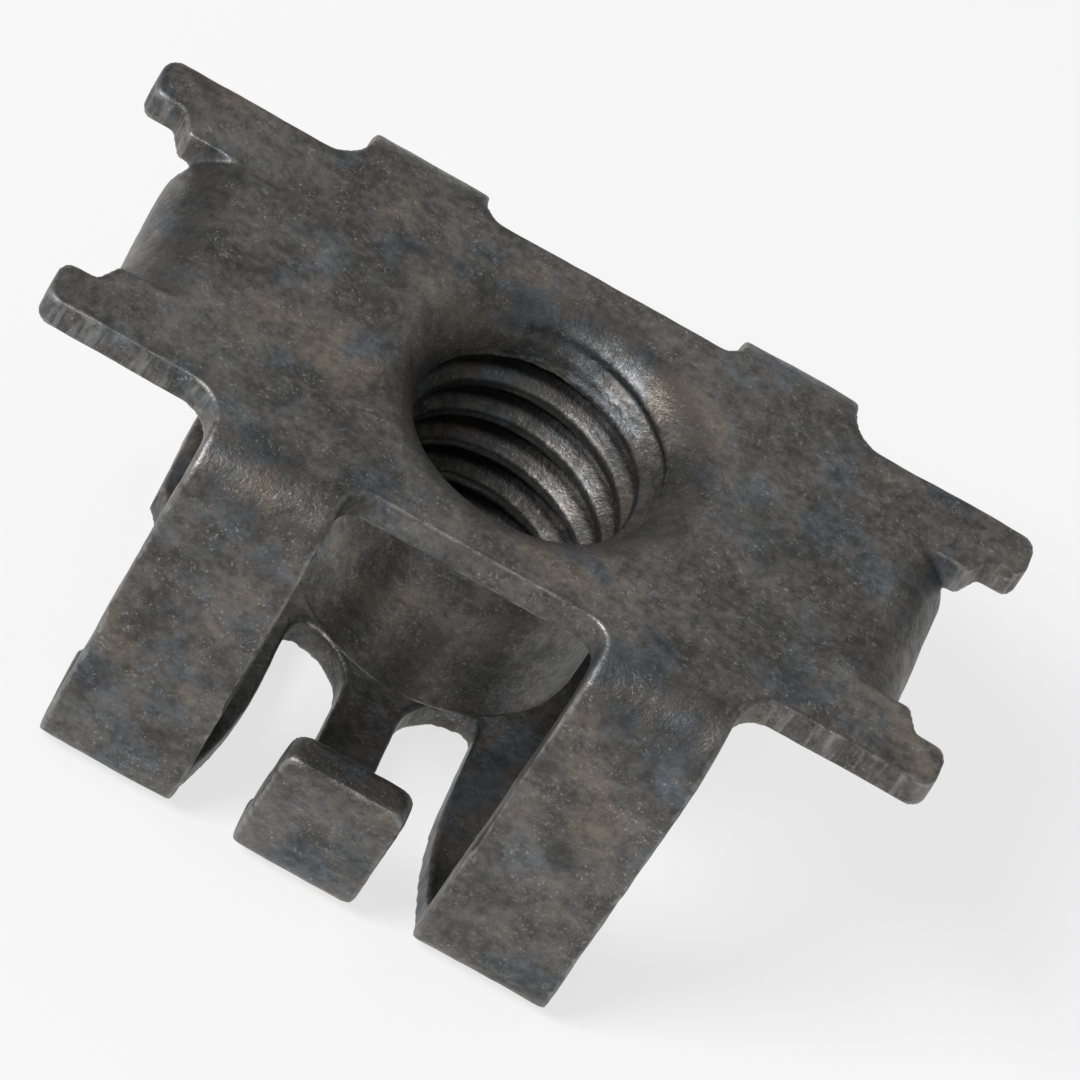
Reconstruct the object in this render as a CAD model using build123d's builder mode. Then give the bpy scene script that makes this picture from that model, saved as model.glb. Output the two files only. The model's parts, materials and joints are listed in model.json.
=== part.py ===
from build123d import *
import os
from math import cos, radians, sin, tan

# Snap-in nut: one steel sheet, drawn into a tapped barrel and folded into a box round it.
# The plate is on top, two front legs run down and turn in to make the floor, and two
# back legs hang behind. A T-shaped snap tongue is cut out of the floor between the front
# legs and turned up. Four ears and two short end flaps stand out past the box.
#
# Frame: +X along the ears, -Y towards the tongue, +Z up along the bore. The origin is on
# the bore axis, at the underside of the floor. Sizes are in millimetres.

# Sheet and overall sizes
sheet = 1.25              # thickness of the steel
height = 15.4             # underside of the floor to the top of the plate
ear_span = 33.3           # over the ear tips, along X
ear_width = 13.1          # over the long edges of the ears, along Y
fold_spacing = 14.4       # between the fold lines of the front and back legs, along Y
plate_edge = 7.3          # long edges between the legs, from the middle plane

# Folds, as outside radii
leg_fold = 2.55           # plate to legs
floor_fold = 1.6          # front legs to floor
flap_fold = 2.5           # plate to end flaps

# Legs, as distances from the middle plane
front_leg_outer = 9.85    # outer edge of a front leg at the plate
front_leg_inner = 4.85    # inner edge of a front leg at the plate
back_leg_outer = 9.35
back_leg_inner = 4.9
leg_taper = 1.0           # degrees that each edge of a leg leans inward, going down
ear_root_fillet = 1.4     # between an ear and a leg
window_fillet = 0.85      # between the plate's long edge and a leg

# Ears and end flaps
ear_slit = 3.62           # inner edge of an ear, from the middle plane
ear_tip_edge = 4.6        # inner edge of an ear at its tip
ear_tip_length = 1.25     # length of the narrow tip
ear_step_run = 0.5        # length of the slope between the two inner edges
ear_corner = 0.55         # corner radius at the tip
flap_width = 7.0
flap_face = 14.75         # outer face of a flap, from the middle plane
flap_drop = 3.8           # plate top to the flap's lower edge
flap_corner = 0.7

# Floor
rear_gap = 0.15           # between the floor's rear edge and the back legs
notch_depth = 0.4         # shallow cutout along each side of the floor
notch_front = -5.8        # Y where the cutout starts
notch_back = 3.0          # Y where it ends
notch_slope = 0.7         # length of the slope at each end of the cutout

# Slots either side of the tongue
web_edge = 0.66           # Y of the slots' closed ends
slot_width = 2.53         # from the neck's side to the slot's outer edge
slot_flare_start = -2.5   # Y where the slot starts to widen towards the front
slot_corner = 0.4

# Snap tongue
neck_width = 2.26
neck_fillet = 2.1
neck_end = -7.9           # Y where the neck meets the head
head_width = 4.6
head_length = 6.75        # along the sloping face, from the floor's underside
head_lean = 12.0          # degrees outward from upright
head_setback = 0.15       # head's foot behind the outer face of the legs
head_top_corner = 0.8
head_bottom_corner = 1.0

# Barrel, tapped 3/8-16 UNC and drawn here at the thread's minor diameter
thread_major = 9.525
thread_minor = 7.94
barrel_wall = 0.54        # outside the thread's grooves
barrel_depth = 9.4        # plate top to the barrel's lower end
barrel_root_fillet = 0.9  # under the plate
mouth_diameter = 12.8     # where the funnel leaves the plate's top
funnel_depth = 1.6        # plate top to the first thread
throat_chamfer = 0.23     # between the funnel and the thread
mouth_chamfer = 0.2       # at the barrel's lower end

# Values that follow from the sizes above
leg_face = fold_spacing / 2 + leg_fold           # outer face of the legs
leg_back = leg_face - sheet                      # inner face of the legs
tip = ear_span / 2
below = 1.0                                      # how far a cut runs past a face
leg_run = height - floor_fold
edge_lean = tan(radians(leg_taper))
window_low = front_leg_inner - leg_run * edge_lean
flap_start = flap_face - flap_fold
slot_outer = neck_width / 2 + slot_width
barrel_end = height - barrel_depth
barrel_radius = thread_major / 2 + barrel_wall


def corner(sketch, across, up):
    """The vertex of a sketch nearest to a point, given in the sketch's own plane."""
    return sketch.vertices().sort_by_distance((across, up, 0))[0]


def half_outline(leg_outer, side):
    """One half of the plate's outline, with two ears and the strip of its legs."""
    slit, edge = side * ear_slit, side * ear_width / 2
    tip_edge, past = side * ear_tip_edge, side * (leg_face + below)
    step = tip - ear_tip_length
    with BuildSketch() as half:
        with BuildLine():
            Polyline(
                (0, 0), (flap_start, 0), (flap_start, slit), (step - ear_step_run, slit),
                (step, tip_edge), (tip, tip_edge), (tip, edge), (leg_outer, edge),
                (leg_outer, past), (0, past), close=True,
            )
        make_face()
        fillet([corner(half, tip, tip_edge), corner(half, tip, edge)], ear_corner)
        fillet(corner(half, leg_outer, edge), ear_root_fillet)
        mirror(about=Plane.YZ)
    return half.sketch


# Folded sheet: a box section along X, with a slit behind the floor
with BuildPart() as nut:
    with BuildSketch(Plane.YZ) as box_section:
        with Locations((0, height / 2)):
            Rectangle(2 * leg_face, height)
        for y in (-leg_face, leg_face):
            fillet(corner(box_section, y, height), leg_fold)
        fillet(corner(box_section, -leg_face, 0), floor_fold)
    extrude(amount=tip, both=True)
    with BuildSketch(Plane.YZ) as box_inside:
        with Locations((0, height / 2)):
            Rectangle(2 * leg_back, height - 2 * sheet)
        for y in (-leg_back, leg_back):
            fillet(corner(box_inside, y, height - sheet), leg_fold - sheet)
        fillet(corner(box_inside, -leg_back, sheet), floor_fold - sheet)
        with Locations((leg_back, 0)):
            Rectangle(rear_gap, 3 * sheet, align=(Align.MAX, Align.CENTER))
    extrude(amount=tip + below, both=True, mode=Mode.SUBTRACT)

    # Outline of the plate, its ears and the legs' strips
    with BuildSketch(Plane.XY) as outline:
        add(half_outline(front_leg_outer, -1))
        add(half_outline(back_leg_outer, 1))
    extrude(amount=height, mode=Mode.INTERSECT)

    # Outer edges of the legs and the floor, leaning inward to the foot
    with BuildSketch(Plane.XZ) as outside:
        foot = front_leg_outer - (height - leg_fold) * edge_lean
        with BuildLine():
            Polyline(
                (foot, -below), (foot, 0), (front_leg_outer, height - leg_fold),
                (tip + below, height - leg_fold), (tip + below, -below), close=True,
            )
        make_face()
        mirror(about=Plane.YZ)
    extrude(amount=leg_face + below, both=True, mode=Mode.SUBTRACT)

    # Windows between the legs
    with BuildSketch(Plane.XY.offset(height)) as front_window:
        with Locations((0, -plate_edge)):
            Rectangle(2 * front_leg_inner, leg_fold + below, align=(Align.CENTER, Align.MAX))
        fillet(front_window.vertices().group_by(Axis.Y)[-1], window_fillet)
    extrude(amount=-leg_run, taper=leg_taper, mode=Mode.SUBTRACT)
    with BuildSketch(Plane.XY.offset(height)) as back_window:
        with Locations((0, plate_edge)):
            Rectangle(2 * back_leg_inner, leg_fold + below, align=(Align.CENTER, Align.MIN))
        fillet(back_window.vertices().group_by(Axis.Y)[0], window_fillet)
    extrude(amount=-height - below, mode=Mode.SUBTRACT)

    # Shallow cutouts along the sides of the floor
    with BuildSketch(Plane.XY) as side_notch:
        side = foot - notch_depth
        with BuildLine():
            Polyline(
                (foot + below, notch_front), (foot, notch_front),
                (side, notch_front + notch_slope), (side, notch_back - notch_slope),
                (foot, notch_back), (foot + below, notch_back), close=True,
            )
        make_face()
        mirror(about=Plane.YZ)
    extrude(amount=sheet, mode=Mode.SUBTRACT)

    # Slots that free the tongue from the floor
    with BuildSketch(Plane.XY) as slots:
        with BuildLine():
            Polyline((neck_width / 2, web_edge), (slot_outer, web_edge), (slot_outer, slot_flare_start))
            flare = TangentArc((slot_outer, slot_flare_start), (window_low, -leg_back), tangent=(0, -1))
            Polyline(
                flare @ 1, (window_low, -leg_face - below), (0, -leg_face - below), (0, neck_end),
                (neck_width / 2, neck_end), (neck_width / 2, web_edge),
            )
        make_face()
        fillet(corner(slots, neck_width / 2, web_edge), neck_fillet)
        fillet(corner(slots, slot_outer, web_edge), slot_corner)
        mirror(about=Plane.YZ)
    extrude(amount=floor_fold, mode=Mode.SUBTRACT)

# Snap tongue: the neck's front end and the head, folded up and leaning out
with BuildPart() as tongue:
    lean = radians(head_lean)
    foot_y = -leg_face + head_setback
    top_y, top_z = foot_y - head_length * sin(lean), head_length * cos(lean)
    inner_y, inner_z = top_y + sheet * cos(lean), top_z + sheet * sin(lean)
    inner_run = (inner_z - sheet) / cos(lean)
    with BuildSketch(Plane.YZ) as tongue_section:
        with BuildLine():
            Polyline(
                (neck_end + below, 0), (foot_y, 0), (top_y, top_z), (inner_y, inner_z),
                (inner_y + inner_run * sin(lean), sheet), (neck_end + below, sheet), close=True,
            )
        make_face()
        fillet(corner(tongue_section, foot_y, 0), floor_fold)
        fillet(corner(tongue_section, inner_y + inner_run * sin(lean), sheet), floor_fold - sheet)
    extrude(amount=head_width / 2, both=True)
    with BuildSketch(Plane.XY) as neck_sides:
        with Locations((neck_width / 2, neck_end)):
            Rectangle(head_width, 2 * below, align=Align.MIN)
        mirror(about=Plane.YZ)
    extrude(amount=2 * sheet, mode=Mode.SUBTRACT)
    with BuildSketch(Plane.XZ) as head_outline:
        with Locations((0, inner_z / 2)):
            Rectangle(head_width, inner_z)
        fillet(head_outline.vertices().group_by(Axis.Y)[-1], head_top_corner)
        fillet(head_outline.vertices().group_by(Axis.Y)[0], head_bottom_corner)
    extrude(amount=2 * leg_face, both=True, mode=Mode.INTERSECT)

# End flap: folded down from the plate between two ears
with BuildPart() as flap:
    with BuildSketch(Plane.XZ) as flap_section:
        with BuildLine():
            Polyline(
                (flap_start - sheet, height), (flap_face, height), (flap_face, height - flap_drop),
                (flap_face - sheet, height - flap_drop), (flap_face - sheet, height - sheet),
                (flap_start - sheet, height - sheet), close=True,
            )
        make_face()
        fillet(corner(flap_section, flap_face, height), flap_fold)
        fillet(corner(flap_section, flap_face - sheet, height - sheet), flap_fold - sheet)
    extrude(amount=flap_width / 2, both=True)
    fillet(flap.edges().filter_by(Axis.X).group_by(Axis.Z)[0], flap_corner)

# The whole nut: the folded sheet with its tongue, flaps and barrel, all one piece
with BuildPart() as snap_in_nut:
    add(nut.part)
    add(tongue.part)
    add(flap.part)
    mirror(flap.part, about=Plane.YZ)
    with BuildSketch(Plane.XZ) as barrel_wall:
        root = barrel_radius + barrel_root_fillet
        with BuildLine():
            Polyline(
                (0, barrel_end), (barrel_radius, barrel_end),
                (barrel_radius, height - sheet - barrel_root_fillet),
            )
            RadiusArc(
                (barrel_radius, height - sheet - barrel_root_fillet),
                (root, height - sheet), barrel_root_fillet,
            )
            Polyline((root, height - sheet), (root, height), (0, height), (0, barrel_end))
        make_face()
    revolve(axis=Axis.Z)
    with BuildSketch(Plane.XZ) as bore:
        throat = thread_minor / 2 + throat_chamfer
        start = height - funnel_depth
        with BuildLine():
            TangentArc((mouth_diameter / 2, height), (throat, start), tangent=(-1, 0))
            Polyline(
                (throat, start), (thread_minor / 2, start - throat_chamfer),
                (thread_minor / 2, barrel_end + mouth_chamfer),
                (thread_minor / 2 + mouth_chamfer, barrel_end),
                (thread_minor / 2 + mouth_chamfer, barrel_end - below), (0, barrel_end - below),
                (0, height + below), (mouth_diameter / 2, height + below),
                (mouth_diameter / 2, height),
            )
        make_face()
    revolve(axis=Axis.Z, mode=Mode.SUBTRACT)

snap_in_nut.part.label = "snap_in_nut"
os.makedirs("parts", exist_ok=True)
export_step(snap_in_nut.part, "parts/snap_in_nut.step")
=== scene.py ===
import json
from math import ceil, cos, hypot, pi, radians, sin

import bpy
from bpy.props import FloatProperty, FloatVectorProperty, IntProperty, PointerProperty
from mathutils import Matrix, Vector

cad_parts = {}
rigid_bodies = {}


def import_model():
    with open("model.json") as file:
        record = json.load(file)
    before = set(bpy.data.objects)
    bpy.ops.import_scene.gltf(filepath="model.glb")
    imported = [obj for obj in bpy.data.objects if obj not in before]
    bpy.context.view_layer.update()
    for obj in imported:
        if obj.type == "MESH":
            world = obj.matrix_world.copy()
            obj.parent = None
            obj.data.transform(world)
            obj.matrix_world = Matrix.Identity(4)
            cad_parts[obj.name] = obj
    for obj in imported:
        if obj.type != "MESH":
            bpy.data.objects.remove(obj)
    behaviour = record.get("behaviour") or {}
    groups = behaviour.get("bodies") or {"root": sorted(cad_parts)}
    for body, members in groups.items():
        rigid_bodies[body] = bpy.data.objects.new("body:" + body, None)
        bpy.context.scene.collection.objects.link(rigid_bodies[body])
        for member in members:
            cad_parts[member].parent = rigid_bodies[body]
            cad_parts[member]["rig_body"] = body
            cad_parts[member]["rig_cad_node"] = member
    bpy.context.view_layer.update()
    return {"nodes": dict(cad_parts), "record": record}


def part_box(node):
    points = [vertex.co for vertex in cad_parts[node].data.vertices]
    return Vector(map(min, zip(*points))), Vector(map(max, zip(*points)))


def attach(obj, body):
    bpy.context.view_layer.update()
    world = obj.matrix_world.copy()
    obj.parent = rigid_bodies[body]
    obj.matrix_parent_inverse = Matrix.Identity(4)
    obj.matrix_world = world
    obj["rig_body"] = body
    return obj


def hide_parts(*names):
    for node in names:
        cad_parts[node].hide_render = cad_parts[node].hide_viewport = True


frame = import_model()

bl_info = {
    "name": "Snap-in nut",
    "version": (1, 0, 0),
    "blender": (4, 5, 0),
    "location": "View3D > Sidebar > Snap-in nut",
    "description": "Models a folded steel snap-in nut with a tapped barrel",
    "category": "Object",
}

MM = 0.001
NODE = "snap_in_nut"
BODY = "root"
LOW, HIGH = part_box(NODE)
THREAD = next(m for m in frame["record"]["mounts"] if m["name"] == "thread")
MINOR_RADIUS = THREAD["dims"]["r_mm"] * MM
THREAD_TOP = THREAD["pos_m"][2]
THREAD_BOTTOM = THREAD_TOP - THREAD["dims"]["length_mm"] * MM

# Where the marks on the mesh lie
SHARPEST_BEND = 0.35 * MM         # a bend of this radius counts as a full edge or hollow
PAST_ROOT = 0.15 * MM             # slack outside the thread's grooves
PAST_THREAD_BOTTOM = 0.3 * MM     # slack at the thread's two ends
PAST_THREAD_TOP = 0.35 * MM
LEAST_GROOVE = 0.01               # value on a crest, so that it differs from 0 off the thread
EAR_START = 0.62 * HIGH.x         # the ears' cut edges lie past this X
EAR_EDGE_DEPTH = 1.3 * MM         # and this near the plate's top
LEG_REACH = 0.55 * HIGH.x + 2 * MM  # the legs' cut edges lie inside this X
LEG_EDGE_TOP = HIGH.z - 2.5 * MM
LEG_START = 7 * MM                # and this far from the middle along Y

# Lights: direction, distance and size
KEY_LIGHT = ((-0.53, -0.5, 0.68), 0.45, 0.16)
PLATE_LIGHT = ((0.15, 0.78, 0.72), 0.6, 0.4)
FLOOR_GAP = 0.05 * MM             # between the nut and the floor


# Sizes and colours -------------------------------------------------------------------

class NutThread(bpy.types.PropertyGroup):
    """The tapped thread in the barrel."""

    pitch: FloatProperty(
        name="Pitch", description="Distance from crest to crest", default=1.5875 * MM,
        unit="LENGTH", precision=5,
    )
    major_radius: FloatProperty(
        name="Major radius", description="Radius at the bottom of the groove",
        default=4.7625 * MM, unit="LENGTH", precision=5,
    )
    root_flat: FloatProperty(
        name="Root flat", description="Width of the groove's flat bottom", default=0.2 * MM,
        unit="LENGTH", precision=5,
    )
    crest_flat: FloatProperty(
        name="Crest flat", description="Width of the flat between two grooves",
        default=0.36 * MM, unit="LENGTH", precision=5,
    )
    steps: IntProperty(name="Steps", description="Steps in one turn", default=96, min=12)


class NutSheet(bpy.types.PropertyGroup):
    """The surface of the folded sheet."""

    mesh_size: FloatProperty(
        name="Mesh size", description="Spacing of the surface's points", default=0.13 * MM,
        unit="LENGTH", precision=5,
    )
    wave_height: FloatProperty(
        name="Waviness", description="Height of the long waves left by the press",
        default=0.10 * MM, unit="LENGTH", precision=5,
    )
    wave_length: FloatProperty(
        name="Wave length", description="Size of the long waves", default=3.2 * MM,
        unit="LENGTH", precision=5,
    )
    dent_height: FloatProperty(
        name="Dents", description="Height of the small dents", default=0.045 * MM,
        unit="LENGTH", precision=5,
    )
    dent_length: FloatProperty(
        name="Dent size", description="Size of the small dents", default=0.8 * MM,
        unit="LENGTH", precision=5,
    )
    most_faces: IntProperty(
        name="Most triangles", description="Triangles in the finished piece", default=190000,
    )


class NutFinish(bpy.types.PropertyGroup):
    """Colours and gloss of the steel."""

    steel: FloatVectorProperty(
        name="Steel", description="Main colour of the steel", subtype="COLOR", size=3,
        default=(0.110, 0.107, 0.104), min=0, max=1,
    )
    warm: FloatVectorProperty(
        name="Warm tint", description="Brown stain in the finish", subtype="COLOR", size=3,
        default=(0.128, 0.112, 0.094), min=0, max=1,
    )
    cool: FloatVectorProperty(
        name="Cool tint", description="Blue stain in the finish", subtype="COLOR", size=3,
        default=(0.096, 0.106, 0.116), min=0, max=1,
    )
    # Colour of the painted shade in hollows, and of the painted shadow and grease in the thread.
    shade_grease_colour: FloatVectorProperty(
        name="Dark marks", description="Painted shade in pits and corners, and shadow with grease in the thread", subtype="COLOR",
        size=3, default=(0.006, 0.005, 0.005), min=0, max=1,
    )
    # Colour of rubbed and sheared metal, and of the painted glints.
    bright: FloatVectorProperty(
        name="Bare metal and glints", description="Painted sparkle and rubbed metal", subtype="COLOR", size=3,
        default=(0.46, 0.46, 0.45), min=0, max=1,
    )


class NutStage(bpy.types.PropertyGroup):
    """Camera, floor and lights."""

    azimuth: FloatProperty(
        name="Azimuth", description="Camera's turn round the nut", default=radians(-5),
        subtype="ANGLE",
    )
    elevation: FloatProperty(
        name="Elevation", description="Camera's height as an angle", default=radians(43),
        subtype="ANGLE",
    )
    roll: FloatProperty(
        name="Roll", description="Camera's turn about its own line of sight",
        default=radians(32.6), subtype="ANGLE",
    )
    distance: FloatProperty(
        name="Distance", description="Camera to the top of the bore", default=0.45,
        unit="LENGTH",
    )
    view_width: FloatProperty(
        name="View width", description="Width of the view at the top of the bore",
        default=35.7 * MM, unit="LENGTH", precision=4,
    )
    aim_right: FloatProperty(
        name="Aim right", description="Line of sight to the right of the bore",
        default=-0.3 * MM, unit="LENGTH", precision=4,
    )
    aim_down: FloatProperty(
        name="Aim down", description="Line of sight below the top of the bore",
        default=4.0 * MM, unit="LENGTH", precision=4,
    )
    key_power: FloatProperty(
        name="Key light", description="Power of the main light", default=1.75, unit="POWER",
    )
    plate_power: FloatProperty(
        name="Plate light", description="Power of the soft light behind, which the plate shows",
        default=0.4, unit="POWER",
    )
    sky: FloatProperty(name="Sky", description="Strength of the world", default=0.25)
    floor_tone: FloatProperty(
        name="Floor tone", description="Grey value of the floor", default=0.9, min=0, max=1,
    )
    floor_glow: FloatProperty(
        name="Floor glow", description="How much of the floor is plain white to the eye",
        default=0.72, min=0, max=1,
    )


# Modelling helpers -------------------------------------------------------------------

def deselect():
    """Leaves edit mode and selects nothing."""
    if bpy.context.object and bpy.context.object.mode != "OBJECT":
        bpy.ops.object.mode_set(mode="OBJECT")
    bpy.ops.object.select_all(action="DESELECT")


def pick(piece):
    """Makes one object the only selected and the active one."""
    deselect()
    piece.select_set(True)
    bpy.context.view_layer.objects.active = piece


def edit(piece, mode="VERT"):
    """Opens a piece in edit mode with nothing selected."""
    pick(piece)
    bpy.ops.object.mode_set(mode="EDIT")
    bpy.ops.mesh.select_mode(type=mode)
    bpy.ops.mesh.select_all(action="DESELECT")


def select_where(piece, test):
    """Selects the vertices whose place passes a test, in edit mode."""
    bpy.ops.object.mode_set(mode="OBJECT")
    mesh = piece.data
    for parts in (mesh.edges, mesh.polygons):
        parts.foreach_set("select", [False] * len(parts))
    for vertex in mesh.vertices:
        vertex.select = test(vertex.co)
    bpy.ops.object.mode_set(mode="EDIT")


def modify(piece, kind, **values):
    """Adds a modifier with these values and applies it."""
    pick(piece)
    bpy.ops.object.modifier_add(type=kind)
    modifier = piece.modifiers[-1]
    for name, value in values.items():
        setattr(modifier, name, value)
    bpy.ops.object.modifier_apply(modifier=modifier.name)


def clouds(name, size, depth):
    """A soft noise texture that moves a surface in and out."""
    texture = bpy.data.textures.new(name, "CLOUDS")
    texture.noise_scale = size
    texture.noise_depth = depth
    texture.noise_basis = "ORIGINAL_PERLIN"
    return texture


# Shader helpers ----------------------------------------------------------------------

def node(tree, kind, inputs=None, **values):
    """Adds a shader node, sets its values, and links or sets its inputs."""
    made = tree.nodes.new(kind)
    for name, value in values.items():
        setattr(made, name, value)
    for key, value in (inputs or {}).items():
        if isinstance(value, bpy.types.NodeSocket):
            tree.links.new(value, made.inputs[key])
        else:
            made.inputs[key].default_value = value
    return made


def ramp(tree, factor, low, high, low_value=0.0, high_value=1.0):
    """A soft step of a value, from low to high."""
    return node(
        tree, "ShaderNodeMapRange",
        {
            "Value": factor, "From Min": low, "From Max": high,
            "To Min": low_value, "To Max": high_value,
        },
        interpolation_type="SMOOTHSTEP",
    ).outputs["Result"]


def mix(tree, factor, first, second, blend="MIX"):
    """Mixes two colours."""
    made = node(tree, "ShaderNodeMix", data_type="RGBA", blend_type=blend)
    for socket, value in ((0, factor), (6, first), (7, second)):
        if isinstance(value, bpy.types.NodeSocket):
            tree.links.new(value, made.inputs[socket])
        elif socket == 0:
            made.inputs[socket].default_value = value
        else:
            made.inputs[socket].default_value = (*value, 1)
    return made.outputs[2]


def noise(tree, vector, scale, detail=2.0, rough=0.5):
    """Smooth noise, with its scale in cycles to the metre."""
    return node(
        tree, "ShaderNodeTexNoise",
        {"Vector": vector, "Scale": scale, "Detail": detail, "Roughness": rough},
    ).outputs["Fac"]


def math(tree, operation, first, second=0.5):
    """One sum on two values."""
    return node(tree, "ShaderNodeMath", {0: first, 1: second}, operation=operation).outputs[0]


def new_group(name, inputs, outputs):
    """An empty node group with named sockets."""
    tree = bpy.data.node_groups.new(name, "ShaderNodeTree")
    for title, kind, value in inputs:
        socket = tree.interface.new_socket(title, in_out="INPUT", socket_type=kind)
        if value is not None:
            socket.default_value = value
    for title, kind in outputs:
        tree.interface.new_socket(title, in_out="OUTPUT", socket_type=kind)
    return tree, tree.nodes.new("NodeGroupInput"), tree.nodes.new("NodeGroupOutput")


def stain_group():
    """Blotches of three tints, from broad stains down to a fine mottle."""
    tree, given, result = new_group(
        "Stain",
        [
            ("Vector", "NodeSocketVector", None), ("Base", "NodeSocketColor", (0.1, 0.1, 0.1, 1)),
            ("Warm", "NodeSocketColor", (0.1, 0.1, 0.1, 1)),
            ("Cool", "NodeSocketColor", (0.1, 0.1, 0.1, 1)), ("Amount", "NodeSocketFloat", 1.0),
        ],
        [("Color", "NodeSocketColor"), ("Tone", "NodeSocketFloat")],
    )
    vector = given.outputs["Vector"]
    amount = given.outputs["Amount"]
    warm = ramp(tree, noise(tree, vector, 210, 3), 0.48, 0.68)
    cool = ramp(tree, noise(tree, vector, 330, 3, 0.6), 0.5, 0.7)
    tinted = mix(
        tree, math(tree, "MULTIPLY", warm, amount), given.outputs["Base"], given.outputs["Warm"],
    )
    tinted = mix(tree, math(tree, "MULTIPLY", cool, amount), tinted, given.outputs["Cool"])
    tone = math(
        tree, "ADD", math(tree, "MULTIPLY", noise(tree, vector, 420, 4, 0.65), 0.9),
        math(tree, "MULTIPLY", noise(tree, vector, 2600, 3, 0.7), 0.7),
    )
    tree.links.new(tinted, result.inputs["Color"])
    tree.links.new(tone, result.inputs["Tone"])
    return tree


def grain_and_glint_group():
    """Fine grain: its height, and small bright specks that are painted glints."""
    tree, given, result = new_group(
        "Grain and glints",
        [("Vector", "NodeSocketVector", None), ("Glint scale", "NodeSocketFloat", 9000.0)],
        [("Height", "NodeSocketFloat"), ("Painted glints", "NodeSocketFloat")],
    )
    vector = given.outputs["Vector"]
    height = math(
        tree, "ADD", noise(tree, vector, 6500, 3, 0.7),
        math(tree, "MULTIPLY", noise(tree, vector, 1600, 3, 0.6), 1.2),
    )
    # Painted glints: small bright specks where the grain would catch the light.
    fine = ramp(tree, noise(tree, vector, given.outputs["Glint scale"], 2, 0.6), 0.56, 0.72)
    cluster = ramp(tree, noise(tree, vector, 1100, 4, 0.7), 0.42, 0.62)
    tree.links.new(height, result.inputs["Height"])
    tree.links.new(math(tree, "MULTIPLY", fine, cluster), result.inputs["Painted glints"])
    return tree


def steel_material(finish, stain, grain_glint_tree):
    """Dark, oiled steel with stains, painted glints, rubbed edges, painted shade in hollows, and
    painted shadow and grease in the grooves.
    """
    material = bpy.data.materials.new("Dark steel")
    material.use_nodes = True
    tree = material.node_tree
    shader = tree.nodes["Principled BSDF"]
    place = node(tree, "ShaderNodeTexCoord").outputs["Object"]
    blotch = node(tree, "ShaderNodeGroup", node_tree=stain)
    tree.links.new(place, blotch.inputs["Vector"])
    blotch.inputs["Base"].default_value = (*finish.steel, 1)
    blotch.inputs["Warm"].default_value = (*finish.warm, 1)
    blotch.inputs["Cool"].default_value = (*finish.cool, 1)
    grain_glint_node = node(tree, "ShaderNodeGroup", node_tree=grain_glint_tree)
    tree.links.new(place, grain_glint_node.inputs["Vector"])

    tone = ramp(tree, blotch.outputs["Tone"], 0.5, 1.1, 0.5, 1.5)
    toned = node(
        tree, "ShaderNodeVectorMath", {0: blotch.outputs["Color"], 1: tone}, operation="MULTIPLY",
    ).outputs[0]
    edges = node(tree, "ShaderNodeAttribute", attribute_name="edge").outputs["Fac"]
    hollow = node(tree, "ShaderNodeAttribute", attribute_name="hollow").outputs["Fac"]
    groove = node(tree, "ShaderNodeAttribute", attribute_name="groove").outputs["Fac"]
    sheared = node(tree, "ShaderNodeAttribute", attribute_name="sheared").outputs["Fac"]
    breakup = noise(tree, place, 900, 3, 0.7)
    rubbed = ramp(tree, math(tree, "MULTIPLY", edges, breakup), 0.16, 0.5)
    bright = tuple(finish.bright)
    worn = mix(tree, math(tree, "MULTIPLY", rubbed, 0.35), toned, bright)
    streak_place = node(tree, "ShaderNodeMapping", {"Vector": place, "Scale": (1, 1, 0.12)})
    streaks = ramp(tree, noise(tree, streak_place.outputs["Vector"], 3200, 3, 0.6), 0.46, 0.66)
    on_edges = math(tree, "MULTIPLY", streaks, sheared)
    scored = mix(tree, math(tree, "MULTIPLY", on_edges, 0.3), worn, bright)
    # Painted glints: the bright specks mixed into the colour.
    with_painted_glints = mix(tree, math(tree, "MULTIPLY", grain_glint_node.outputs["Painted glints"], 0.5), scored, bright)
    # Painted shadow in the thread: the roots and the flanks under each ridge darken as if shaded, and a
    # thin dark line lies on each crest; the roots also hold grease.
    groove_shadow_and_grease = math(
        tree, "ADD", ramp(tree, groove, 0.42, 0.7), ramp(tree, groove, 0.12, 0.04, 0.0, 0.55),
    )
    threaded = ramp(tree, groove, 0.001, 0.002)
    thread_shadow_and_grease = math(tree, "MULTIPLY", math(tree, "MULTIPLY", groove_shadow_and_grease, threaded), 0.9)
    # Painted shade: points that sink in (corners, creases, inner bends) darken as if shaded, together
    # with the thread's painted shadow and grease.
    shade_and_grease_mask = math(tree, "MAXIMUM", math(tree, "MULTIPLY", hollow, 0.6), thread_shadow_and_grease)
    colour_with_shade_and_grease = mix(tree, shade_and_grease_mask, with_painted_glints, tuple(finish.shade_grease_colour))
    tree.links.new(colour_with_shade_and_grease, shader.inputs["Base Color"])
    rough = ramp(tree, blotch.outputs["Tone"], 0.5, 1.1, 0.54, 0.38)
    tree.links.new(rough, shader.inputs["Roughness"])
    shader.inputs["Metallic"].default_value = 0.8
    bump = node(
        tree, "ShaderNodeBump",
        {"Strength": 0.6, "Distance": 0.00004, "Height": grain_glint_node.outputs["Height"]},
    )
    tree.links.new(bump.outputs["Normal"], shader.inputs["Normal"])
    return material


# The nut -----------------------------------------------------------------------------

def copy_of_node(name, title):
    """A copy of a CAD node, merged into one closed mesh."""
    deselect()
    pick(frame["nodes"][name])
    bpy.ops.object.duplicate(linked=False)
    piece = bpy.context.object
    piece.name = title
    piece.parent = None
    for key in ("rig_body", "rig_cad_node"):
        if key in piece:
            del piece[key]
    piece.matrix_world = Matrix.Identity(4)
    edit(piece)
    bpy.ops.mesh.select_all(action="SELECT")
    bpy.ops.mesh.remove_doubles(threshold=1e-6)
    bpy.ops.object.mode_set(mode="OBJECT")
    return piece


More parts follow.
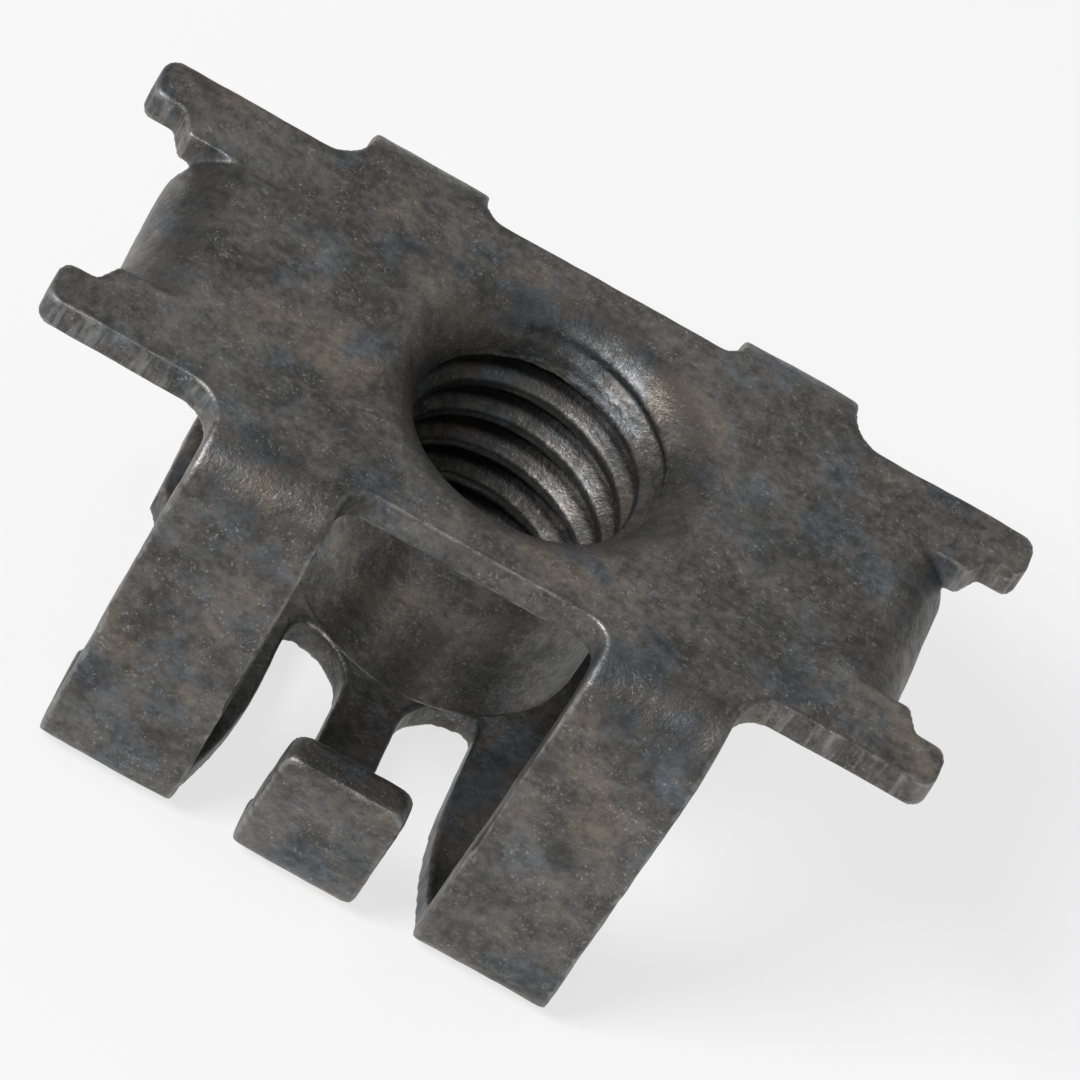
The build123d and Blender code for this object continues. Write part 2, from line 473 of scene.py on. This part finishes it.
def thread_groove(thread):
    """The coil of metal that a tap takes out of the barrel."""
    margin = thread.pitch
    inner = MINOR_RADIUS - 0.2 * MM
    slope = (thread.pitch - thread.crest_flat - thread.root_flat) / (thread.major_radius - MINOR_RADIUS)
    inner_width = thread.root_flat + slope * (thread.major_radius - inner)
    start = THREAD_BOTTOM - 2 * margin
    turns = ceil((THREAD_TOP + 2 * margin - start) / thread.pitch)
    deselect()
    bpy.ops.mesh.primitive_plane_add(size=1, location=(0, 0, 0), rotation=(pi / 2, 0, 0))
    groove = bpy.context.object
    groove.name = "thread_groove"
    bpy.ops.object.transform_apply(location=True, rotation=True, scale=True)
    edit(groove)
    bpy.ops.mesh.select_all(action="SELECT")
    bpy.ops.transform.resize(value=(thread.major_radius - inner, 1, inner_width))
    bpy.ops.transform.translate(value=((thread.major_radius + inner) / 2, 0, start))
    middle = (thread.major_radius + inner) / 2
    select_where(groove, lambda co: co.x > middle)
    bpy.ops.transform.resize(
        value=(1, 1, thread.root_flat / inner_width), center_override=(middle, 0, start),
    )
    bpy.ops.mesh.select_all(action="SELECT")
    bpy.ops.mesh.delete(type="ONLY_FACE")
    bpy.ops.object.mode_set(mode="OBJECT")
    modify(
        groove, "SCREW", axis="Z", angle=2 * pi, screw_offset=thread.pitch, iterations=turns,
        steps=thread.steps, render_steps=thread.steps, use_smooth_shade=False,
    )
    edit(groove)
    bpy.ops.mesh.select_all(action="SELECT")
    bpy.ops.mesh.fill_holes(sides=4)
    bpy.ops.mesh.normals_make_consistent(inside=False)
    bpy.ops.object.mode_set(mode="OBJECT")
    return groove


def cut(piece, tool):
    """Takes a tool's shape out of a piece, and deletes the tool."""
    modify(piece, "BOOLEAN", operation="DIFFERENCE", solver="EXACT", object=tool)
    pick(tool)
    bpy.ops.object.delete()


def mark_edges(piece):
    """Writes how much each point sticks out (edge) or sinks in (hollow)."""
    mesh = piece.data
    bends = [0.0] * len(mesh.vertices)
    counts = [0] * len(mesh.vertices)
    normals = [v.normal.copy() for v in mesh.vertices]
    for a, b in (e.vertices for e in mesh.edges):
        step = mesh.vertices[b].co - mesh.vertices[a].co
        length = step.length or 1.0
        turn = (normals[b] - normals[a]).dot(step) / (length * length)
        for i in (a, b):
            bends[i] += turn
            counts[i] += 1
    values = [b / c if c else 0.0 for b, c in zip(bends, counts)]
    edge = mesh.attributes.new("edge", "FLOAT", "POINT")
    hollow = mesh.attributes.new("hollow", "FLOAT", "POINT")
    sharpest = 1 / SHARPEST_BEND
    edge.data.foreach_set("value", [min(1.0, max(0.0, v / sharpest)) for v in values])
    hollow.data.foreach_set("value", [min(1.0, max(0.0, -v / sharpest)) for v in values])


def mark_thread(piece, thread):
    """Writes how deep each point of the thread lies: near 0 on a crest, 1 in the root."""
    mesh = piece.data
    depth = thread.major_radius - MINOR_RADIUS
    values = []
    for vertex in mesh.vertices:
        x, y, z = vertex.co
        inward = vertex.normal.x * x + vertex.normal.y * y < 0
        in_bore = hypot(x, y) < thread.major_radius + PAST_ROOT
        tapped = THREAD_BOTTOM - PAST_THREAD_BOTTOM < z < THREAD_TOP + PAST_THREAD_TOP
        deep = (hypot(x, y) - MINOR_RADIUS) / depth
        values.append(min(1.0, max(LEAST_GROOVE, deep)) if inward and in_bore and tapped else 0.0)
    groove = mesh.attributes.new("groove", "FLOAT", "POINT")
    groove.data.foreach_set("value", values)


def mark_sheared(piece):
    """Marks the cut edges of the ears, flaps and legs."""
    mesh = piece.data
    middle = (LOW + HIGH) / 2
    values = []
    for vertex in mesh.vertices:
        x, y, z = vertex.co
        normal = vertex.normal
        on_ear = abs(x) > EAR_START and z > HIGH.z - EAR_EDGE_DEPTH and abs(normal.z) < 0.4
        on_leg = abs(x) < LEG_REACH and z < LEG_EDGE_TOP and abs(normal.x) > 0.8
        values.append(1.0 if on_ear or (on_leg and abs(y - middle.y) > LEG_START) else 0.0)
    sheared = mesh.attributes.new("sheared", "FLOAT", "POINT")
    sheared.data.foreach_set("value", values)


class NUT_OT_body(bpy.types.Operator):
    """Model the nut from its CAD solid: cut the thread, round and dent the sheet"""

    bl_idname = "nut.body"
    bl_label = "Nut"
    bl_options = {"REGISTER", "UNDO"}

    def execute(self, context):
        scene = context.scene
        sheet, thread = scene.nut_sheet, scene.nut_thread
        nut = copy_of_node(NODE, "nut_steel")
        cut(nut, thread_groove(thread))
        modify(nut, "REMESH", mode="VOXEL", voxel_size=sheet.mesh_size, adaptivity=0)
        modify(nut, "SMOOTH", factor=0.5, iterations=4)
        modify(
            nut, "DISPLACE", texture=clouds("press_waves", sheet.wave_length, 1),
            texture_coords="LOCAL", strength=sheet.wave_height, mid_level=0.5,
        )
        modify(
            nut, "DISPLACE", texture=clouds("small_dents", sheet.dent_length, 2),
            texture_coords="LOCAL", strength=sheet.dent_height, mid_level=0.5,
        )
        triangles = 2 * len(nut.data.polygons)
        if triangles > sheet.most_faces:
            modify(nut, "DECIMATE", ratio=sheet.most_faces / triangles)
        mark_edges(nut)
        mark_thread(nut, thread)
        mark_sheared(nut)
        pick(nut)
        bpy.ops.object.shade_smooth()
        nut.data.materials.clear()
        nut.data.materials.append(steel_material(scene.nut_finish, stain_group(), grain_and_glint_group()))
        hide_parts(NODE)
        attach(nut, BODY)
        return {"FINISHED"}


# The stage ---------------------------------------------------------------------------

def add_camera(stage):
    """The camera, turned about its own line of sight."""
    a, e, roll = stage.azimuth, stage.elevation, stage.roll
    back = Vector((sin(a) * cos(e), -cos(a) * cos(e), sin(e)))
    level = Vector((cos(a), sin(a), 0))
    upright = back.cross(level)
    right = level * cos(roll) + upright * sin(roll)
    up = upright * cos(roll) - level * sin(roll)
    mouth = Vector((0, 0, HIGH.z))
    aim = mouth + right * stage.aim_right - up * stage.aim_down
    deselect()
    bpy.ops.object.camera_add()
    camera = bpy.context.object
    camera.name = "camera"
    camera.matrix_world = Matrix.Translation(aim + back * stage.distance) @ Matrix(
        (right, up, back)
    ).transposed().to_4x4()
    camera.data.sensor_width = 36
    camera.data.lens = 36 * stage.distance / stage.view_width
    camera.data.clip_start = 0.01
    camera.data.clip_end = 20
    bpy.context.scene.camera = camera


def add_softbox(name, direction, distance, size, power):
    """A square area light that points at the nut."""
    middle = (LOW + HIGH) / 2
    towards = Vector(direction).normalized()
    deselect()
    bpy.ops.object.light_add(type="AREA", location=middle + towards * distance)
    light = bpy.context.object
    light.name = name
    light.rotation_euler = towards.to_track_quat("Z", "Y").to_euler()
    light.data.size = size
    light.data.energy = power


def add_floor(tone, glow):
    """A wide pale floor just under the nut, partly plain white where it is seen."""
    deselect()
    bpy.ops.mesh.primitive_plane_add(size=4, location=(0, 0, LOW.z - FLOOR_GAP))
    floor = bpy.context.object
    floor.name = "floor"
    bpy.ops.object.transform_apply(location=True, rotation=True, scale=True)
    material = bpy.data.materials.new("Pale floor")
    material.use_nodes = True
    tree = material.node_tree
    shader = tree.nodes["Principled BSDF"]
    shader.inputs["Base Color"].default_value = (tone, tone, tone, 1)
    shader.inputs["Roughness"].default_value = 0.9
    shader.inputs["Specular IOR Level"].default_value = 0.1
    path = node(tree, "ShaderNodeLightPath").outputs
    seen = math(
        tree, "ADD", path["Is Camera Ray"],
        math(tree, "ADD", path["Is Glossy Ray"], path["Is Transmission Ray"]),
    )
    white = node(tree, "ShaderNodeEmission", {"Color": (1, 1, 1, 1), "Strength": 1.0})
    both = node(
        tree, "ShaderNodeMixShader",
        {
            0: math(tree, "MULTIPLY", math(tree, "MINIMUM", seen, 1.0), glow),
            1: shader.outputs["BSDF"], 2: white.outputs["Emission"],
        },
    )
    tree.links.new(both.outputs["Shader"], tree.nodes["Material Output"].inputs["Surface"])
    floor.data.materials.append(material)


class NUT_OT_stage(bpy.types.Operator):
    """Set the floor, the world, the lights and the camera"""

    bl_idname = "nut.stage"
    bl_label = "Stage"
    bl_options = {"REGISTER", "UNDO"}

    def execute(self, context):
        scene = context.scene
        stage = scene.nut_stage
        add_camera(stage)
        add_floor(stage.floor_tone, stage.floor_glow)
        add_softbox("key_light", *KEY_LIGHT, stage.key_power)
        add_softbox("plate_light", *PLATE_LIGHT, stage.plate_power)
        world = bpy.data.worlds.new("Studio")
        scene.world = world
        world.use_nodes = True
        sky = world.node_tree.nodes["Background"]
        sky.inputs["Color"].default_value = (1, 1, 1, 1)
        sky.inputs["Strength"].default_value = stage.sky
        scene.view_settings.view_transform = "Standard"
        return {"FINISHED"}


class NUT_PT_panel(bpy.types.Panel):
    """Lists the nut's pieces, sizes and colours"""

    bl_label = "Snap-in nut"
    bl_idname = "NUT_PT_panel"
    bl_space_type = "VIEW_3D"
    bl_region_type = "UI"
    bl_category = "Snap-in nut"

    def draw(self, context):
        layout = self.layout
        for group in (NutThread, NutSheet, NutFinish, NutStage):
            owner = getattr(context.scene, GROUPS[group])
            box = layout.box()
            box.label(text=group.__doc__)
            for name in group.__annotations__:
                box.prop(owner, name)
        for operator in OPERATORS:
            layout.operator(operator.bl_idname)


GROUPS = {
    NutThread: "nut_thread",
    NutSheet: "nut_sheet",
    NutFinish: "nut_finish",
    NutStage: "nut_stage",
}
OPERATORS = (NUT_OT_body, NUT_OT_stage)
CLASSES = (*GROUPS, *OPERATORS, NUT_PT_panel)


def register():
    for item in CLASSES:
        bpy.utils.register_class(item)
    for group, name in GROUPS.items():
        setattr(bpy.types.Scene, name, PointerProperty(type=group))


def unregister():
    for name in GROUPS.values():
        delattr(bpy.types.Scene, name)
    for item in reversed(CLASSES):
        bpy.utils.unregister_class(item)


def main():
    """Builds everything."""
    register()
    bpy.ops.nut.body()
    bpy.ops.nut.stage()


if __name__ == "__main__":
    main()
